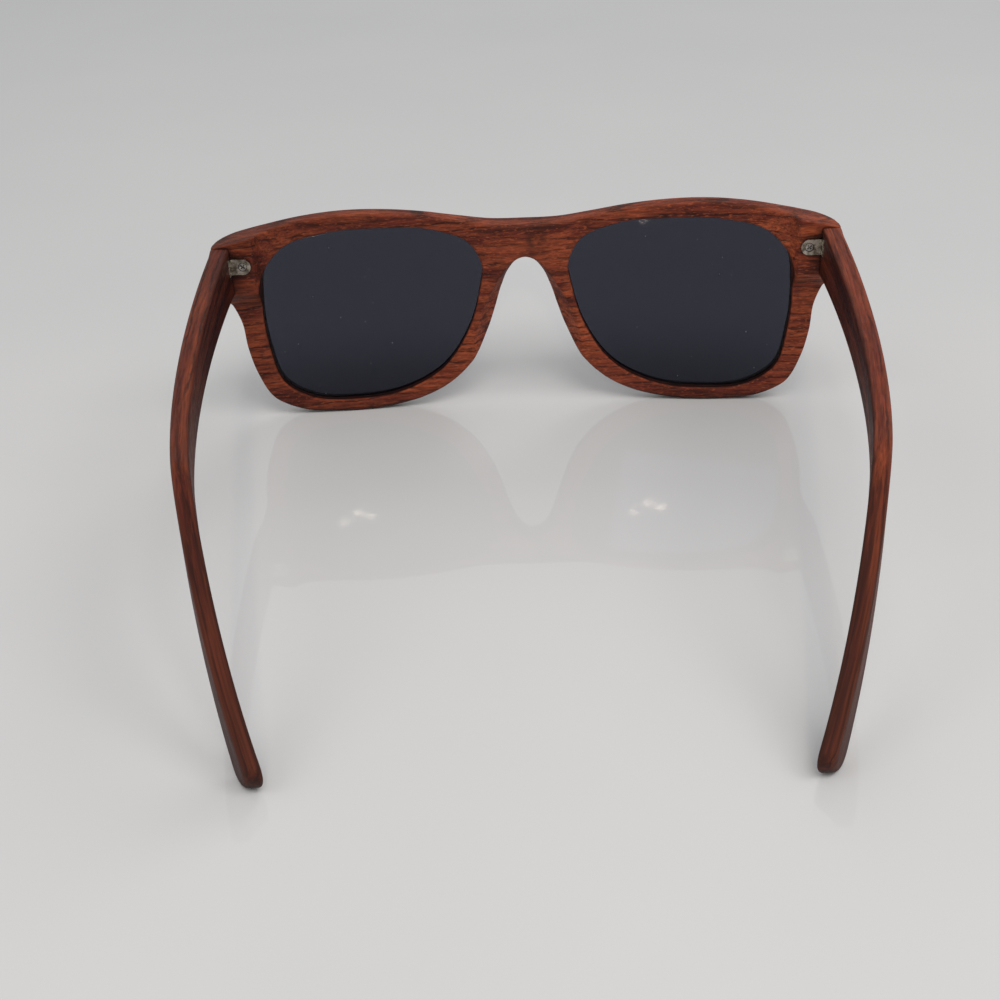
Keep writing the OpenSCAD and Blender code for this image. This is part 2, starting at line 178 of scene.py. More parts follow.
def curve(points, closed=False):
    """A smooth line through points."""
    points = [Vector(p) for p in points]
    count = len(points)

    def slope(i):
        if not closed and i in (0, count - 1):
            return (points[min(i + 1, count - 1)] - points[max(i - 1, 0)]).normalized()
        before = points[i] - points[i - 1]
        after = points[(i + 1) % count] - points[i]
        d1, d2 = before.length, after.length
        return (before * d2 / d1 + after * d1 / d2) / (d1 + d2)

    line = []
    for i in range(count if closed else count - 1):
        a, b = points[i], points[(i + 1) % count]
        run_a = slope(i) * (b - a).length
        run_b = slope((i + 1) % count) * (b - a).length
        for k in range(CURVE_STEPS):
            t = k / CURVE_STEPS
            line.append(a * (2 * t**3 - 3 * t**2 + 1) + run_a * (t**3 - 2 * t**2 + t)
                        + b * (3 * t**2 - 2 * t**3) + run_b * (t**3 - t**2))
    if not closed:
        line.append(points[-1])
    return np.array(line)


def even(line, gap):
    """The open line again, with points about gap apart."""
    along = np.concatenate([[0], np.cumsum(np.hypot(*np.diff(line, axis=0).T))])
    at = np.linspace(0, along[-1], max(2, round(along[-1] / gap) + 1))
    return np.column_stack([np.interp(at, along, line[:, k]) for k in (0, 1)])


def turned(loop, anticlockwise):
    """The loop of points, turning the way that is asked for."""
    x, z = loop.T
    area = np.sum(x * np.roll(z, -1) - np.roll(x, -1) * z)
    return loop if (area > 0) == anticlockwise else loop[::-1]


def whole(half):
    """A line of the right half and its mirror image, as one line."""
    half = np.array(half, float)
    mirror = half[half[:, 0] > 0][::-1] * (-1, 1)
    return np.concatenate([mirror, half] if half[0, 0] == 0 else [half, mirror])


# The right half of the front's edges, as shares of the named sizes
TOP_HALF = [
    (0, BRIDGE_Z),
    (BRIDGE_W * 0.4, BRIDGE_Z + BRIDGE_DIP * 0.05),
    (BRIDGE_W * 0.75, BRIDGE_Z + BRIDGE_DIP * 0.32),
    (at_lens(0.27, 1)[0], BROW_Z - BRIDGE_DIP * 0.3),
    (at_lens(0.45, 1)[0], BROW_Z - BRIDGE_DIP * 0.05),
    (at_lens(0.62, 1)[0], BROW_Z),
    (at_lens(0.81, 1)[0], BROW_Z - END_DROP * 0.18),
    (at_lens(0.98, 1)[0], BROW_Z - END_DROP * 0.52),
    (END_X - BLOCK_L * 0.65, END_Z + END_DROP * 0.28),
    (END_X, END_Z),
]
NOSE_HALF = [
    (BRIDGE_W * 0.76, RIM_H + LENS_H * 0.143),
    (BRIDGE_W * 0.575, RIM_H + LENS_H * 0.258),
    (BRIDGE_W * 0.452, RIM_H + LENS_H * 0.38),
    (BRIDGE_W * 0.365, RIM_H + LENS_H * 0.5),
    (BRIDGE_W * 0.282, ARCH_Z * 0.8),
    (BRIDGE_W * 0.19, ARCH_Z * 0.923),
    (BRIDGE_W * 0.1, ARCH_Z * 0.982),
    (0, ARCH_Z),
]
LOW_HALF = [
    (END_X, LOW_Z),
    (END_X - BLOCK_L * 0.25, END_Z - END_H * 1.33),
    at_lens(1, 0.52, RIM_W * 1.2),
    at_lens(0.993, 0.36, RIM_W * 1.12),
    at_lens(0.96, 0.2, RIM_W * 1.15),
    at_lens(0.91, 0.085, RIM_W * 0.98, -RIM_H * 0.58),
    at_lens(0.84, 0.035, RIM_W * 0.4, -RIM_H * 1.02),
    at_lens(0.72, 0.006, 0, -RIM_H),
    at_lens(0.6, 0, 0, -RIM_H),
    at_lens(0.435, 0.021, 0, -RIM_H),
    at_lens(0.3, 0.07, -RIM_W * 0.1, -RIM_H * 1.06),
    at_lens(0.19, 0.155, -RIM_W * 0.32, -RIM_H * 1.1),
] + NOSE_HALF
LENS_EDGE = [at_lens(u, v) for u, v in [
    (0.44, 1), (0.72, 0.984), (0.88, 0.93), (0.97, 0.815),
    (1, 0.6), (0.99, 0.36), (0.935, 0.125), (0.82, 0.03),
    (0.61, 0), (0.38, 0.04), (0.2, 0.163), (0.08, 0.37),
    (0.015, 0.615), (0, 0.78), (0.045, 0.885), (0.2, 0.972),
]]


def front_outline(gap):
    """The front's outer edge: top, right end, lower side with the nose, and left end."""
    top = even(curve(whole(TOP_HALF)), gap)
    low = even(curve(whole(LOW_HALF)), gap)
    right_end = even(np.array([top[-1], low[0]]), gap)
    left_end = even(np.array([low[-1], top[0]]), gap)
    return turned(np.concatenate([line[:-1] for line in (top, right_end, low, left_end)]), True)


def lens_outline(gap, side):
    """The edge of the right (side 1) or left (side -1) lens opening."""
    line = curve(LENS_EDGE, closed=True)
    return even(np.concatenate([line, line[:1]]), gap)[:-1] * (side, 1)


def inwards(loop):
    """Unit-distance steps to the left of a loop's points, lengthened at corners."""
    ahead = np.roll(loop, -1, axis=0) - loop
    left = np.column_stack([-ahead[:, 1], ahead[:, 0]]) / np.hypot(*ahead.T)[:, None]
    mean = left + np.roll(left, 1, axis=0)
    return 2 * mean / np.sum(mean**2, axis=1)[:, None]


# Surfaces of the front, as depth over the outline

def ease(low, high, x):
    """A smooth step from 0 at low to 1 at high."""
    t = np.clip((x - low) / (high - low), 0, 1)
    return t * t * (3 - 2 * t)


def soft_min(a, b, reach):
    """The lower of two surfaces, blended where they are within reach of each other."""
    t = np.clip(0.5 + (b - a) / (2 * reach), 0, 1)
    return b + (a - b) * t - reach * t * (1 - t)


def rims_back(ax):
    """Depth of the bowed back of the rims."""
    return np.sqrt(BOW_R**2 - ax**2) - BOW_R


def bridge_back(ax):
    """Depth of the bridge's thicker wood, part of a round bar."""
    pad_r = ((BRIDGE_PAD_W / 2) ** 2 + BRIDGE_PAD_D**2) / (2 * BRIDGE_PAD_D)
    return pad_r - BRIDGE_PAD_D - np.sqrt(pad_r**2 - np.minimum(ax, BRIDGE_PAD_W) ** 2)


def end_back(ax):
    """Depth of the end blocks, with the step and the scoop that lead to them."""
    block_x = END_X - BLOCK_L
    step_x = block_x - STEP_RUN
    scoop_x = step_x - SCOOP_L
    step_back, scoop_back = rims_back(step_x), rims_back(scoop_x)
    step_y = (BLOCK_Y + step_back) / 2
    knee_x = step_x - SCOOP_L * SCOOP_KNEE_AT
    knee_y = step_back * (1 - SCOOP_KNEE_DEEP) + step_y * SCOOP_KNEE_DEEP
    xs = [scoop_x - SCOOP_CLEAR_RUN, scoop_x, knee_x, step_x, block_x, END_X]
    return np.interp(ax, xs, [scoop_back + SCOOP_CLEAR_RISE, scoop_back, knee_y, step_y, BLOCK_Y, BLOCK_Y])


def distance_to_nose(x, z):
    """Distance from the edge of the nose gap, for points close to it."""
    line = even(curve(whole(NOSE_HALF)), NOSE_LINE_GAP)
    tree = KDTree(len(line))
    for i, (a, b) in enumerate(line):
        tree.insert((a, b, 0), i)
    tree.balance()
    near = (np.abs(x) < BRIDGE_W) & (z < BRIDGE_Z)
    return np.array([tree.find((a, b, 0))[2] if k else BRIDGE_W for a, b, k in zip(x, z, near)])


def beside_nose(z, full, taper_from, taper):
    """A share that grows up the side of the nose to a full height and tapers towards the arch."""
    return ease(NOSE_FOOT_Z, full, z) * (1 - taper * ease(taper_from, ARCH_Z, z))


def nose_bevel(x, z):
    """Depth of the bevels that are carved along both sides of the nose."""
    width = NOSE_BEVEL_W * beside_nose(z, NOSE_WIDE_FROM, NOSE_WIDE_TO, NOSE_WIDE_TAPER) + NOSE_LEAST_W
    edge = NOSE_FOOT_Y + NOSE_BEVEL_D * beside_nose(z, NOSE_DEEP_FROM, NOSE_DEEP_TO, NOSE_DEEP_TAPER)
    deep = np.maximum(edge + BRIDGE_PAD_D * NOSE_INNER_SHARE, NOSE_LEAST_D)
    return edge - deep * distance_to_nose(x, z) / width


def front_back(x, z):
    """Depth of the front's back: the bow, the bridge, the end blocks and the nose bevels."""
    ax = np.abs(x)
    depth = soft_min(rims_back(ax), bridge_back(ax), SOFT_JOIN)
    depth = soft_min(depth, end_back(ax) + np.maximum(0, LOW_Z - z), SOFT_BLOCK)
    return -soft_min(-depth, -nose_bevel(x, z), SOFT_JOIN)


def front_face(x, z):
    """Depth of the front's face, which bows and rounds off at both ends."""
    ax = np.abs(x)
    over = np.clip(ax - (END_X - CORNER_R), 0, CORNER_R)
    return np.sqrt((BOW_R + FRONT_T) ** 2 - ax**2) - BOW_R - CORNER_R + np.sqrt(CORNER_R**2 - over**2)


# Surfaces and outline of a temple

def centre_x(s):
    """Where the right temple's centre line is across, at a distance behind the joint."""
    t = s / TEMPLE_L
    return END_X - TEMPLE_T / 2 - TIP_IN * (EARLY_IN * t**2 + (1 - EARLY_IN) * t**6)


def centre_z(s):
    """How high a temple's centre line is, at a distance behind the joint."""
    behind = np.maximum(0, s - BEND_AT)
    last = LINE_L - BEND_AT
    fall = behind**2 / (behind + BEND_SOFT) * (last + BEND_SOFT) / last**2
    return LINE_TOP - TEMPLE_FALL * s / LINE_L - (LINE_TOP - TEMPLE_FALL - TIP_H / 2) * fall


def temple_face(side):
    """How far across the right temple's inner (side -1) or outer (side 1) face is, by depth."""
    s = np.linspace(0, TEMPLE_L + TIP_T, PLAN_STEPS)
    x, y = centre_x(s), JOINT_Y - s
    dx, dy = np.gradient(x), np.gradient(y)
    off = side * (TEMPLE_T + (TIP_T - TEMPLE_T) * s / s[-1]) / 2 / np.hypot(dx, dy)
    face_x, face_y = x - off * dy, y + off * dx
    return lambda u, v: np.interp(-u, -face_y, face_x)


def temple_outline(gap):
    """Side view of a temple: a tapering band that drops behind the ear and ends round."""
    s = np.linspace(-2 * JOINT_GAP, LINE_L, LINE_STEPS)
    y, z = JOINT_Y - s, centre_z(s)
    dy, dz = np.gradient(y), np.gradient(z)
    half = (END_H + (TIP_H - END_H) * np.linspace(0, 1, LINE_STEPS)) / 2
    off = np.column_stack([-dz, dy]) / np.hypot(dy, dz)[:, None] * half[:, None]
    line = np.column_stack([y, z])
    run = np.array([dy[-1], dz[-1]]) / hypot(dy[-1], dz[-1]) * TIP_H / 2
    tip = [line[-1] + off[-1] * cos(a) + run * sin(a) for a in np.linspace(0, pi, TIP_STEPS)[1:-1]]
    low, top = line + off, line - off
    keep_low, keep_top = low[low[:, 0] < JOINT_Y], top[top[:, 0] < JOINT_Y]
    first = np.array([JOINT_Y, np.interp(-JOINT_Y, -low[:, 0], low[:, 1])])
    last = np.array([JOINT_Y, np.interp(-JOINT_Y, -top[:, 0], top[:, 1])])
    long_edge = even(np.concatenate([[first], keep_low, tip, keep_top[::-1], [last]]), gap)
    return turned(np.concatenate([long_edge[:-1], even(np.array([last, first]), gap)[:-1]]), True)


# Meshes

def plate(name, loops, low, high, low_r, high_r, gap, place):
    """A solid between two surfaces over an outline (first loop) and its openings, with rounded edges."""
    points, wear, seat, faces = [], [], [], []

    def add(flat, depth, worn, seated):
        start = len(points)
        points.extend(place(u, v, h) for (u, v), h in zip(flat, depth))
        wear.extend([worn] * len(flat))
        seat.extend([seated] * len(flat))
        return list(range(start, start + len(flat)))

    def band(a, b):
        faces.extend((a[i - 1], a[i], b[i], b[i - 1]) for i in range(len(a)))

    rims = []
    for surface, radius, way in ((low, low_r, 1), (high, high_r, -1)):
        inner, outer = [], []
        for loop in loops:
            r, steps = radius(*loop.T), inwards(loop)
            rows = []
            for angle in np.arange(EDGE_STEPS) * pi / 2 / EDGE_STEPS:
                ring = loop + steps * (r * (1 - cos(angle)))[:, None]
                depth = surface(*ring.T) + way * r * (1 - sin(angle))
                rows.append(add(ring, depth, sin(2 * angle) * (1 - LEAST_WEAR) + LEAST_WEAR, 0.0))
            for outer_row, inner_row in zip(rows, rows[1:]):
                band(outer_row, inner_row)
            outer.append(rows[0])
            inner.append((rows[-1], loop + steps * r[:, None]))
        rims.append(outer)
        fill(inner, surface, gap, add, faces)
    for i, (low_row, high_row) in enumerate(zip(*rims)):
        if i == 0:
            band(low_row, high_row)
            continue
        # A ring at the groove's edge of each opening carries painted shade that darkens the wall by the lens
        edge = loops[i].T
        shaded = add(loops[i], GROOVE_EDGE + low(*edge) + low_r(*edge), 0.0, 1.0)
        band(low_row, shaded)
        band(shaded, high_row)
    return finished(name, points, faces, wear=wear, seat=seat)


def inside(points, loop):
    """Which points lie in a loop."""
    x, z = points.T
    hit = np.zeros(len(points), bool)
    for (ax, az), (bx, bz) in zip(loop, np.roll(loop, -1, axis=0)):
        if az != bz:
            hit ^= ((az > z) != (bz > z)) & (x < (bx - ax) * (z - az) / (bz - az) + ax)
    return hit


def grid_within(rings, gap):
    """Points in staggered rows over the area between the rings, clear of their edges."""
    outer = rings[0]
    grid_u = np.arange(outer[:, 0].min(), outer[:, 0].max(), gap)
    grid_v = np.arange(outer[:, 1].min(), outer[:, 1].max(), gap)
    grid = np.array([(u + (k % 2) * gap / 2, v) for k, v in enumerate(grid_v) for u in grid_u])
    tree = KDTree(sum(len(ring) for ring in rings))
    for ring in rings:
        for u, v in ring:
            tree.insert((u, v, 0), 0)
    tree.balance()
    keep = inside(grid, outer)
    for ring in rings[1:]:
        keep &= ~inside(grid, ring)
    keep[keep] = [tree.find((u, v, 0))[2] > gap * CLEAR_OF_EDGE for u, v in grid[keep]]
    return grid[keep]


def fill(rims, surface, gap, add, faces):
    """Triangles over the area within the first ring and outside the others, sewn to the rows before them."""
    rings = [ring for _, ring in rims]
    flat, edges = [], []
    for ring in rings:
        start = len(flat)
        edges += [(start + i, start + (i + 1) % len(ring)) for i in range(len(ring))]
        flat += [Vector(p) for p in ring]
    flat += [Vector(p) for p in grid_within(rings, gap)]
    made, _, triangles, sources, _, _ = delaunay_2d_cdt(flat, edges, [], 1, SAME_POINT)
    made = np.array([tuple(p) for p in made])
    middle = np.array([made[list(t)].mean(axis=0) for t in triangles])
    solid = np.ones(len(triangles), bool)
    for ring in rings[1:]:
        solid &= ~inside(middle, ring)
    ids = add(made, surface(*made.T), 0.0, 0.0)
    faces.extend(tuple(ids[i] for i in t) for t, k in zip(triangles, solid) if k)
    made_from = {source: i for i, found in zip(ids, sources) for source in found}
    start = 0
    for before, ring in rims:
        row = [made_from[start + i] for i in range(len(ring))]
        start += len(ring)
        faces.extend((before[i - 1], before[i], row[i], row[i - 1]) for i in range(len(row)))


def finished(name, points, faces, **values):
    """An object with outward normals, smooth faces and values at its points."""
    mesh = bpy.data.meshes.new(name)
    mesh.from_pydata([Vector(p) * MM for p in points], [], faces)
    for label, numbers in values.items():
        kept = mesh.attributes.new(label, "FLOAT", "POINT")
        kept.data.foreach_set("value", np.array(numbers, np.float32))
    work = bmesh.new()
    work.from_mesh(mesh)
    bmesh.ops.recalc_face_normals(work, faces=work.faces)
    work.to_mesh(mesh)
    work.free()
    mesh.shade_smooth()
    made = bpy.data.objects.new(name, mesh)
    bpy.context.scene.collection.objects.link(made)
    return made


def cut_away(piece, cutter):
    """Takes the cutter's space out of a piece."""
    change = piece.modifiers.new("cut", "BOOLEAN")
    change.object = cutter
    change.operation = "DIFFERENCE"
    change.solver = "EXACT"
    bpy.context.view_layer.update()
    shape = bpy.data.meshes.new_from_object(piece.evaluated_get(bpy.context.evaluated_depsgraph_get()))
    piece.modifiers.clear()
    piece.data = shape
    bpy.data.objects.remove(cutter)


# Sub-parts

def dressed(piece, cad_node, body, material):
    """Puts a piece in the place of a CAD node."""
    piece.data.materials.clear()
    piece.data.materials.append(material)
    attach(piece, body)
    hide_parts(cad_node)


def make_front(material):
    """The front with both rims, the bridge and the end pieces."""
    openings = [turned(lens_outline(FRONT_EDGE_GAP, side), False) for side in (1, -1)]
    opening_x = np.concatenate([opening[:, 0] for opening in openings])

    def outer_r(x, z):
        near_block = ease(END_X - BLOCK_L - BLOCK_EDGE_RUN, END_X - BLOCK_L, np.abs(x))
        near_nose = distance_to_nose(x, z) < NOSE_EDGE_REACH
        return FRONT_EDGE_R - BLOCK_SHARPER * near_block - NOSE_SHARPER * near_nose

    def back_r(x, z):
        return np.where(np.isin(x, opening_x), OPENING_EDGE_R, outer_r(x, z))

    def face_r(x, z):
        return back_r(x, z) * FACE_EDGE_SHARE

    loops = [front_outline(FRONT_EDGE_GAP)] + openings
    piece = plate("front_wood", loops, front_back, front_face, back_r, face_r, FRONT_MESH_GAP,
                  lambda u, v, h: (u, h + BACK_Y, v))
    dressed(piece, "front_frame", "front", material)


def make_lens(hand, side, material):
    """A curved lens, sunk into the groove of its opening."""
    turn = asin(LENS_X / BOW_R)
    middle = BOW_R + LENS_SET - LENS_R
    ball_x, ball_y = side * sin(turn) * middle, cos(turn) * middle - BOW_R

    def shell(radius):
        return lambda x, z: ball_y + np.sqrt(radius**2 - (x - ball_x) ** 2 - (z - LENS_Z) ** 2)

    def edge_r(x, z):
        return np.full(len(x), LENS_EDGE_R)

    loop = turned(lens_outline(LENS_MESH_GAP, side), True)
    loop = loop - inwards(loop) * LENS_SUNK
    piece = plate(hand + "_lens_glass", [loop], shell(LENS_R), shell(LENS_R + LENS_T), edge_r, edge_r,
                  LENS_MESH_GAP, lambda u, v, h: (u, h + BACK_Y, v))
    even_sheen = piece.modifiers.new("even_sheen", "WEIGHTED_NORMAL")
    even_sheen.weight = 100
    dressed(piece, hand + "_lens", "front", material)


def make_temple(hand, side, material):
    """A bent temple with the room for its hinge."""
    def edge_r(joint_r):
        def radius(u, v):
            return joint_r + (TEMPLE_EDGE_R - joint_r) * ease(JOINT_EDGE_FROM, JOINT_EDGE_TO, JOINT_Y - u)
        return radius

    piece = plate(hand + "_temple_wood", [temple_outline(TEMPLE_EDGE_GAP)], temple_face(-1), temple_face(1),
                  edge_r(JOINT_INNER_R), edge_r(JOINT_OUTER_R), TEMPLE_MESH_GAP,
                  lambda u, v, h: (side * h, u + BACK_Y, v))
    cut_away(piece, hinge_notch(hand, side))
    bend_grain(piece, side)
    dressed(piece, hand + "_temple", hand + "_arm", material)


def hinge_notch(hand, side):
    """The room for the hinge's barrel in a temple's inner front edge."""
    screw_low, screw_high = (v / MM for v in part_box(hand + "_hinge_screw"))
    leaf_low, leaf_high = (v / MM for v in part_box(hand + "_front_leaf"))
    axis_x, axis_y = abs(screw_low.x + screw_high.x) / 2, (screw_low.y + screw_high.y) / 2
    hinge_z = (leaf_low.z + leaf_high.z) / 2
    xs = [side * (INNER_X - CUT_SPARE), side * (axis_x + SWING_R)]
    ys = [axis_y - SWING_R, JOINT_Y + BACK_Y + CUT_SPARE]
    zs = [hinge_z - NOTCH_LOW, hinge_z + NOTCH_HIGH]
    corners = [(x, y, z) for z in zs for y in ys for x in xs]
    sides = [(0, 1, 3, 2), (4, 6, 7, 5), (0, 4, 5, 1), (2, 3, 7, 6), (0, 2, 6, 4), (1, 5, 7, 3)]
    return finished("notch", corners, sides)


def bend_grain(piece, side):
    """Notes where each point is off the temple's centre line, for grain that follows its bend."""
    at = np.array([v.co for v in piece.data.vertices])
    behind = JOINT_Y + BACK_Y - at[:, 1] / MM
    at[:, 0] -= side * MM * centre_x(behind)
    at[:, 2] -= MM * centre_z(behind)
    kept = piece.data.attributes.new("grain", "FLOAT_VECTOR", "POINT")
    kept.data.foreach_set("vector", at.astype(np.float32).ravel())


def finish_hardware(name, material):
    """Gives a CAD leaf or screw its metal and slightly broken edges."""
    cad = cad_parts[name]
    cad.data.materials.clear()
    cad.data.materials.append(material)
    bevel = cad.modifiers.new("edge", "BEVEL")
    bevel.width = HARDWARE_BEVEL * MM
    bevel.segments = 2
    bevel.limit_method = "ANGLE"


# Colours and patterns. A ramp is a row of stops, each a value and its colour or grey, and a share says how
# much of a colour is laid over the wood.
WOOD_BANDS = (
    (0.32, (0.063, 0.0118, 0.0075)),
    (0.43, (0.13, 0.0245, 0.0125)),
    (0.56, (0.245, 0.054, 0.021)),
    (0.7, (0.15, 0.03, 0.016)),
)
WOOD_CLOUDS = ((0.35, (0.74, 0.69, 0.78)), (0.65, (1.22, 1.19, 1.12)))
WOOD_ACROSS = ((0.0, (0.66, 0.64, 0.67)), (0.45, 1.05), (1.0, 1.16))
WOOD_INNER_SHADE = ((0.3, 1.0), (0.85, (0.52, 0.5, 0.56)))
WOOD_TIPWARD = ((0.25, 0.0), (0.7, 0.72))
WOOD_ROUGH = ((0.3, 0.45), (0.7, 0.65))
WOOD_GLOSS = 0.2
WOOD_BUMP = 0.4
WOOD_RELIEF = 0.00006
WOOD_CORNER = 0.004
WOOD_CLEAR = 0.88
SHIFT_WAY = (1.0, 0.7, 1.3)
ACROSS_PER_M = 7.0
TIPWARD_PER_M = -10.0
LINE_SHARE = 0.85
LINE_BROWN = (0.018, 0.0045, 0.0035)
STREAK_SHARE = 0.65
STREAK_BROWN = (0.025, 0.006, 0.0045)
PORE_SHARE = 0.55
PORE_BROWN = (0.03, 0.0075, 0.005)
FLECK_SHARE = 0.45
FLECK_ORANGE = (0.4, 0.1, 0.036)
FLECK_RAISED = 0.3
WORN_SHARE = 0.1
WORN_BROWN = (0.24, 0.08, 0.04)
# Painted shade on the opening walls by the lens: its share and its near-black colour
GROOVE_SHADE_SHARE = 0.96
GROOVE_SHADE_BLACK = (0.004, 0.0035, 0.0035)
MARK_BROWN = (0.022, 0.008, 0.006)
TIPWARD_BROWN = (0.02, 0.007, 0.006)
# Painted shade in corners: its brown and its ramp over open air
CORNER_SHADE_BROWN = (0.012, 0.004, 0.003)
CORNER_SHADE_FULL = (0.4, 0.9)
FRONT_GRAIN = (0, radians(2), 0)
TEMPLE_GRAIN = (0, radians(60), radians(-88))
TEMPLE_STRETCH = 3.0
BRIDGE_MARK = (2.5, 68.0, 43.2)
MARK_R = (3.2, 30.0, 4.6)
LENS_TINT = (0.045, 0.0465, 0.066)
LENS_DUST = (0.2, 0.2, 0.22)
LENS_ROUGH = 0.025
DUST_ROUGH = 0.4
LENS_IOR = 1.25
NICKEL = ((0.78, 0.71, 0.6), (0.2, 0.17, 0.13), 0.26)
STEEL = ((0.8, 0.76, 0.7), (0.25, 0.22, 0.18), 0.25)
METAL_CORNER_SHADE = (0.03, 0.02, 0.015)
METAL_CORNER = 0.0006
METAL_CLEAR = 0.85
METAL_BUMP = 0.15
METAL_RELIEF = 0.00002
BRUSHED_ROUGHER = 0.2
BRUSHED_SCALE = (900, 900, 9000)
TABLE_CLOUDS = ((0.3, (0.6, 0.602, 0.608)), (0.7, (0.625, 0.625, 0.627)))
TABLE_ROUGH = 0.018


# Material nodes

def connect(tree, value, socket):
    """Links a socket's value, or sets it where it is plain."""
    if isinstance(value, bpy.types.NodeSocket):
        tree.links.new(value, socket)
    else:
        socket.default_value = value


def node(tree, kind, settings=None, **sockets):
    """A new node with its settings and its inputs by name."""
    made = tree.nodes.new("ShaderNode" + kind)
    for name, value in (settings or {}).items():
        setattr(made, name, value)
    for name, value in sockets.items():
        connect(tree, value, made.inputs[name.replace("_", " ")])
    return made


def place_of(tree, kind="Object"):
    """Where a point is, or the way it faces, at rest."""
    return node(tree, "TexCoord").outputs[kind]


def attribute(tree, name, output="Fac"):
    """A value that is kept at the mesh's points."""
    return node(tree, "Attribute", {"attribute_name": name}).outputs[output]


def mixed(tree, share, a, b, way="MIX"):
    """Colour a with a share of the colour b."""
    made = node(tree, "Mix", {"data_type": "RGBA", "blend_type": way})
    for index, value in ((0, share), (6, a), (7, b)):
        connect(tree, (*value, 1) if isinstance(value, tuple) else value, made.inputs[index])
    return made.outputs[2]


def ramp(tree, value, *stops):
    """The colours or greys of the stops, by a value."""
    made = node(tree, "ValToRGB", Fac=value)
    while len(made.color_ramp.elements) < len(stops):
        made.color_ramp.elements.new(0.5)
    for element, (place, colour) in zip(made.color_ramp.elements, stops):
        element.position = place
        element.color = (*colour, 1) if isinstance(colour, tuple) else (colour, colour, colour, 1)
    return made.outputs[0]


def sums(tree, kind, *values):
    """A sum or product of values."""
    made = node(tree, "Math", {"operation": kind})
    for socket, value in zip(made.inputs, values):
        connect(tree, value, socket)
    return made.outputs[0]


def corner_shade(tree, distance, clear):
    """A share of painted shade, most in corners within a distance and none from a clear share of open air."""
    open_air = node(tree, "AmbientOcclusion", Distance=distance).outputs["AO"]
    return ramp(tree, open_air, CORNER_SHADE_FULL, (clear, 0.0))


def new_material(name):
    """A material with its nodes and its shader."""
    made = bpy.data.materials.new(name)
    made.use_nodes = True
    tree = made.node_tree
    return made, tree, tree.nodes["Principled BSDF"]


def relief(tree, shader, height, strength, distance):
    """Raises the surface a little by a height."""
    raised = node(tree, "Bump", Height=height, Strength=strength, Distance=distance)
    tree.links.new(raised.outputs[0], shader.inputs["Normal"])


# Materials

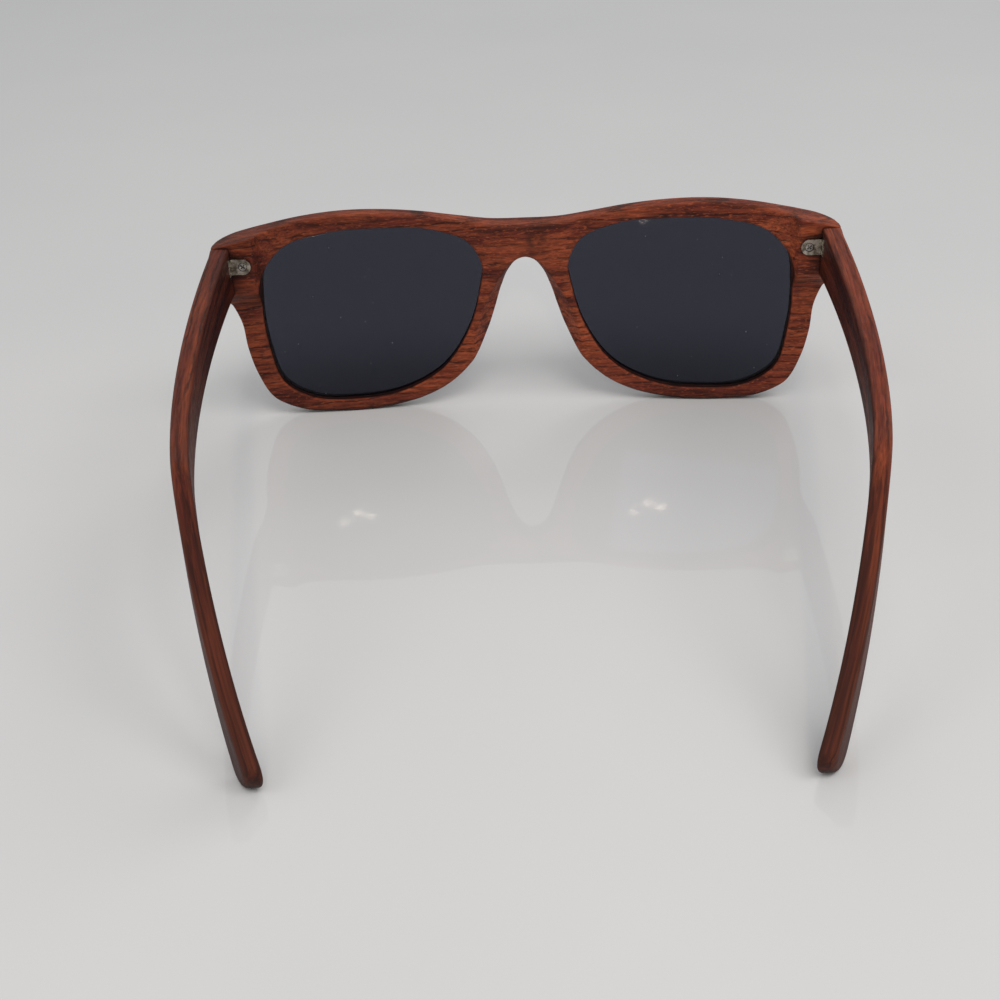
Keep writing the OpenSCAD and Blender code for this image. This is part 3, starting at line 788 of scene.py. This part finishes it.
def wood(name, turn, shift, tone=1.0, mark=None, inner=0, long=1.0):
    """Reddish-brown hardwood: bands of colour, dark growth lines, pores, flecks, worn edges, and painted
    shade in corners and on the opening walls by the lens.

    turn lays the grain, shift takes another place in the board and long stretches the fine detail. A temple
    gives the way its inner face looks, -1 or 1 along X, for painted shade on that face, and its grain follows
    its bend.
    """
    made, tree, shader = new_material(name)
    grain = attribute(tree, "grain", "Vector") if inner else place_of(tree)
    lined = node(tree, "Mapping", Vector=grain, Rotation=turn).outputs[0]

    def figure(*stops, along, across, apart, detail=2):
        """A ramp over noise along the grain, with its scales in waves per millimetre."""
        sized = node(tree, "Mapping", Vector=lined, Location=[(shift + apart) * way for way in SHIFT_WAY],
                     Scale=(along / MM, across / MM, across / MM)).outputs[0]
        noise = node(tree, "TexNoise", Vector=sized, Scale=1.0, Detail=detail, Roughness=0.55)
        return ramp(tree, noise.outputs[0], *stops)

    def times(value, factor):
        return sums(tree, "MULTIPLY", value, factor)

    def tinted(plain, tint):
        return mixed(tree, 1.0, plain, tint, "MULTIPLY")

    shades = ((0.3, 0.5 * tone), (0.5, tone), (0.7, 1.45 * tone))
    colour = figure(*WOOD_BANDS, along=0.014, across=0.28, apart=0, detail=4)
    colour = tinted(colour, figure(*shades, along=0.2 / long, across=1.5, apart=23, detail=5))
    colour = tinted(colour, figure(*WOOD_CLOUDS, along=0.02, across=0.06, apart=29))
    clear_lines = figure((0.36, 0.15), (0.58, 1.0), along=0.07, across=0.35, apart=7)
    lines = times(growth_lines(tree, lined, shift), clear_lines)
    pores = figure((0.55, 0.0), (0.66, 1.0), along=0.4 / long, across=4.0, apart=3, detail=1)
    flecks = figure((0.58, 0.0), (0.72, 1.0), along=0.8 / long, across=3.2, apart=11, detail=1)
    streaks = figure((0.58, 0.0), (0.66, 1.0), along=0.01, across=0.45, apart=17, detail=4)
    colour = mixed(tree, times(lines, LINE_SHARE), colour, LINE_BROWN)
    colour = mixed(tree, times(streaks, STREAK_SHARE), colour, STREAK_BROWN)
    colour = mixed(tree, times(pores, PORE_SHARE / sqrt(long)), colour, PORE_BROWN)
    colour = mixed(tree, times(flecks, FLECK_SHARE / long), colour, FLECK_ORANGE)
    if mark:
        colour = mixed(tree, dark_mark(tree, mark), colour, MARK_BROWN)
    place = node(tree, "SeparateXYZ", Vector=place_of(tree)).outputs
    across_front = sums(tree, "MULTIPLY_ADD", place["X"], ACROSS_PER_M, 0.5)
    colour = tinted(colour, ramp(tree, across_front, *WOOD_ACROSS))
    # Painted shade: a temple's inner face is darkened against its top and outer faces
    if inner:
        facing = node(tree, "SeparateXYZ", Vector=place_of(tree, "Normal")).outputs["X"]
        colour = tinted(colour, ramp(tree, times(facing, inner), *WOOD_INNER_SHADE))
    # Darker towards the temples' tips
    tipward = ramp(tree, times(place["Y"], TIPWARD_PER_M), *WOOD_TIPWARD)
    colour = mixed(tree, tipward, colour, TIPWARD_BROWN)
    colour = mixed(tree, times(attribute(tree, "wear"), WORN_SHARE), colour, WORN_BROWN)
    # Painted shade: darker in corners, by ambient occlusion
    colour = mixed(tree, corner_shade(tree, WOOD_CORNER, WOOD_CLEAR), colour, CORNER_SHADE_BROWN)
    # Painted shade: the opening's wall by the lens darkened nearly to black
    colour = mixed(tree, times(attribute(tree, "seat"), GROOVE_SHADE_SHARE), colour, GROOVE_SHADE_BLACK)
    tree.links.new(colour, shader.inputs["Base Color"])
    tree.links.new(figure(*WOOD_ROUGH, along=0.3, across=2.0, apart=5), shader.inputs["Roughness"])
    shader.inputs["Specular IOR Level"].default_value = WOOD_GLOSS
    height = sums(tree, "SUBTRACT", times(flecks, FLECK_RAISED), sums(tree, "ADD", pores, lines))
    relief(tree, shader, height, WOOD_BUMP, WOOD_RELIEF)
    return made


def growth_lines(tree, lined, shift):
    """Thin wavy lines about 2 mm apart along the grain."""
    sized = node(tree, "Mapping", Vector=lined, Location=(shift, 0, shift),
                 Scale=(0.18 / MM, 1 / MM, 1 / MM)).outputs[0]
    bands = node(tree, "TexWave", {"wave_type": "BANDS", "bands_direction": "Z"}, Vector=sized, Scale=0.15,
                 Distortion=8.0, Detail=5.0, Detail_Scale=0.8, Detail_Roughness=0.65)
    return ramp(tree, bands.outputs["Fac"], (0.0, 1.0), (0.1, 0.5), (0.2, 0.0))


def dark_mark(tree, place):
    """A ragged dark mark in the wood round a place in millimetres."""
    at = place_of(tree)
    near = node(tree, "Mapping", Vector=at, Location=[-v / r for v, r in zip(place, MARK_R)],
                Scale=[1 / (r * MM) for r in MARK_R]).outputs[0]
    within = node(tree, "TexGradient", {"gradient_type": "SPHERICAL"}, Vector=near).outputs["Fac"]
    noise = node(tree, "TexNoise", Vector=at, Scale=500.0, Detail=3.0).outputs[0]
    ragged = ramp(tree, noise, (0.35, 0.2), (0.65, 1.0))
    return sums(tree, "MULTIPLY", ramp(tree, within, (0.0, 0.0), (0.6, 0.75)), ragged)


def lens_glass():
    """Dark blue-grey sunglass lens that lets a little light through, with a few specks of dust."""
    made, tree, shader = new_material("dark_lens")
    at = place_of(tree)
    cells = node(tree, "TexVoronoi", Vector=at, Scale=450.0).outputs["Distance"]
    patches = node(tree, "TexNoise", Vector=at, Scale=160.0, Detail=1.0).outputs[0]
    specks = ramp(tree, cells, (0.035, 1.0), (0.075, 0.0))
    dust = sums(tree, "MULTIPLY", specks, ramp(tree, patches, (0.48, 0.0), (0.56, 1.0)))
    rough = ramp(tree, dust, (0.0, LENS_ROUGH), (1.0, DUST_ROUGH))
    tree.links.new(mixed(tree, dust, LENS_TINT, LENS_DUST), shader.inputs["Base Color"])
    tree.links.new(rough, shader.inputs["Roughness"])
    shader.inputs["Transmission Weight"].default_value = 1.0
    shader.inputs["IOR"].default_value = LENS_IOR
    return made


def worn_metal(name, colour, dark, rough):
    """Nickel or steel with cloudy tarnish, fine scratches and painted shade in its corners."""
    made, tree, shader = new_material(name)
    at = place_of(tree)
    cloud = node(tree, "TexNoise", Vector=at, Scale=700.0, Detail=4.0, Roughness=0.65).outputs[0]
    sized = node(tree, "Mapping", Vector=at, Scale=BRUSHED_SCALE).outputs[0]
    brushed = node(tree, "TexNoise", Vector=sized, Scale=1.0, Detail=2.0).outputs[0]
    tarnished = ramp(tree, cloud, (0.38, dark), (0.6, colour))
    # Painted shade: darker in corners, by ambient occlusion
    coloured = mixed(tree, corner_shade(tree, METAL_CORNER, METAL_CLEAR), tarnished, METAL_CORNER_SHADE)
    brushed_rough = ramp(tree, brushed, (0.3, rough), (0.7, rough + BRUSHED_ROUGHER))
    tree.links.new(coloured, shader.inputs["Base Color"])
    tree.links.new(brushed_rough, shader.inputs["Roughness"])
    shader.inputs["Metallic"].default_value = 1.0
    relief(tree, shader, brushed, METAL_BUMP, METAL_RELIEF)
    return made


def table_top():
    """Pale glossy table top."""
    made, tree, shader = new_material("pale_table")
    cloud = node(tree, "TexNoise", Vector=place_of(tree), Scale=9.0, Detail=3.0).outputs[0]
    tree.links.new(ramp(tree, cloud, *TABLE_CLOUDS), shader.inputs["Base Color"])
    shader.inputs["Roughness"].default_value = TABLE_ROUGH
    return made


# Stage, light and camera, in metres, watts and degrees
TABLE_X = (-3, 3)
TABLE_Y = (-2, 4)
SKY_COLOUR = (0.97, 0.985, 1, 1)
SKY_STRENGTH = 0.44
LAMP_TARGET = (0, 0.03, 0.02)
PANEL_SIZE = 0.6
PANELS = (
    ("left", 1.35, (1, 0.98, 0.96), (-0.7, -0.4, 0.9)),
    ("right", 3.6, (1, 0.97, 0.94), (0.7, -0.35, 1.05)),
    ("behind", 6.8, (1, 0.97, 0.94), (0.15, -0.7, 1.12)),
    ("far", 3.1, (1, 0.99, 0.98), (0.35, 1.2, 1.0)),
)
BULB_SIZE = 0.014
BULB_WATTS = 1.2
BULB_COLOUR = (1, 0.86, 0.66)
BULB_PLACES = ((0.03, -1.9, 1.045), (0.055, -1.9, 1.06), (0.085, -1.9, 1.03))
CAMERA_PLACE = (0.00108, -0.264465, 0.16584)
CAMERA_HEADING = 1.63
CAMERA_DOWN = 30.06
CAMERA_ROLL = -2.59
CAMERA_LENS = 54
CAMERA_SENSOR = 36
CAMERA_CLIP = 0.01


def make_stage():
    """The table and the even light of the room."""
    (left, right), (near, far) = TABLE_X, TABLE_Y
    mesh = bpy.data.meshes.new("table")
    mesh.from_pydata([(left, near, 0), (right, near, 0), (right, far, 0), (left, far, 0)], [], [(0, 1, 2, 3)])
    mesh.materials.append(table_top())
    table = bpy.data.objects.new("table", mesh)
    bpy.context.scene.collection.objects.link(table)
    world = bpy.data.worlds.new("studio")
    world.use_nodes = True
    sky = world.node_tree.nodes["Background"].inputs
    sky["Color"].default_value = SKY_COLOUR
    sky["Strength"].default_value = SKY_STRENGTH
    bpy.context.scene.world = world


def lamp(name, size, watts, colour, place, mirrored):
    """A square lamp, which glossy surfaces show only where it is to be mirrored."""
    light = bpy.data.lights.new(name, "AREA")
    light.size, light.energy, light.color = size, watts, colour
    made = bpy.data.objects.new(name, light)
    made.location = place
    made.visible_glossy = mirrored
    made.rotation_euler = (Vector(LAMP_TARGET) - Vector(place)).to_track_quat("-Z", "Y").to_euler()
    bpy.context.scene.collection.objects.link(made)


def make_lamps():
    """Four soft panels, and three small bulbs that glint in the lenses and the table."""
    for name, watts, colour, place in PANELS:
        lamp(name, PANEL_SIZE, watts, colour, place, False)
    for place in BULB_PLACES:
        lamp("bulb", BULB_SIZE, BULB_WATTS, BULB_COLOUR, place, True)


def make_camera():
    """The camera at the photograph's viewing angle."""
    view = bpy.data.cameras.new("view")
    view.lens, view.sensor_width, view.clip_start = CAMERA_LENS, CAMERA_SENSOR, CAMERA_CLIP
    made = bpy.data.objects.new("view", view)
    heading = Matrix.Rotation(radians(CAMERA_HEADING), 4, "Z")
    tilt = Matrix.Rotation(radians(90 - CAMERA_DOWN), 4, "X")
    roll = Matrix.Rotation(radians(CAMERA_ROLL), 4, "Z")
    made.matrix_world = Matrix.Translation(CAMERA_PLACE) @ heading @ tilt @ roll
    bpy.context.scene.collection.objects.link(made)
    bpy.context.scene.camera = made


def main():
    """Makes every piece, then the stage, the lamps and the camera."""
    front_wood = wood("front_wood", FRONT_GRAIN, 0.0, mark=BRIDGE_MARK)
    glass = lens_glass()
    nickel = worn_metal("worn_nickel", *NICKEL)
    steel = worn_metal("screw_steel", *STEEL)
    metals = {"front_leaf": nickel, "temple_leaf": nickel, "hinge_screw": steel, "front_leaf_screw": steel}
    make_front(front_wood)
    for hand, side, shift, tone in (("left", -1, 40.0, 0.93), ("right", 1, 65.0, 0.9)):
        make_lens(hand, side, glass)
        temple_wood = wood(hand + "_temple_wood", TEMPLE_GRAIN, shift, tone, inner=-side, long=TEMPLE_STRETCH)
        make_temple(hand, side, temple_wood)
        for part, metal in metals.items():
            finish_hardware(hand + "_" + part, metal)
    make_stage()
    make_lamps()
    make_camera()
    bpy.context.scene.view_settings.view_transform = "Standard"


main()
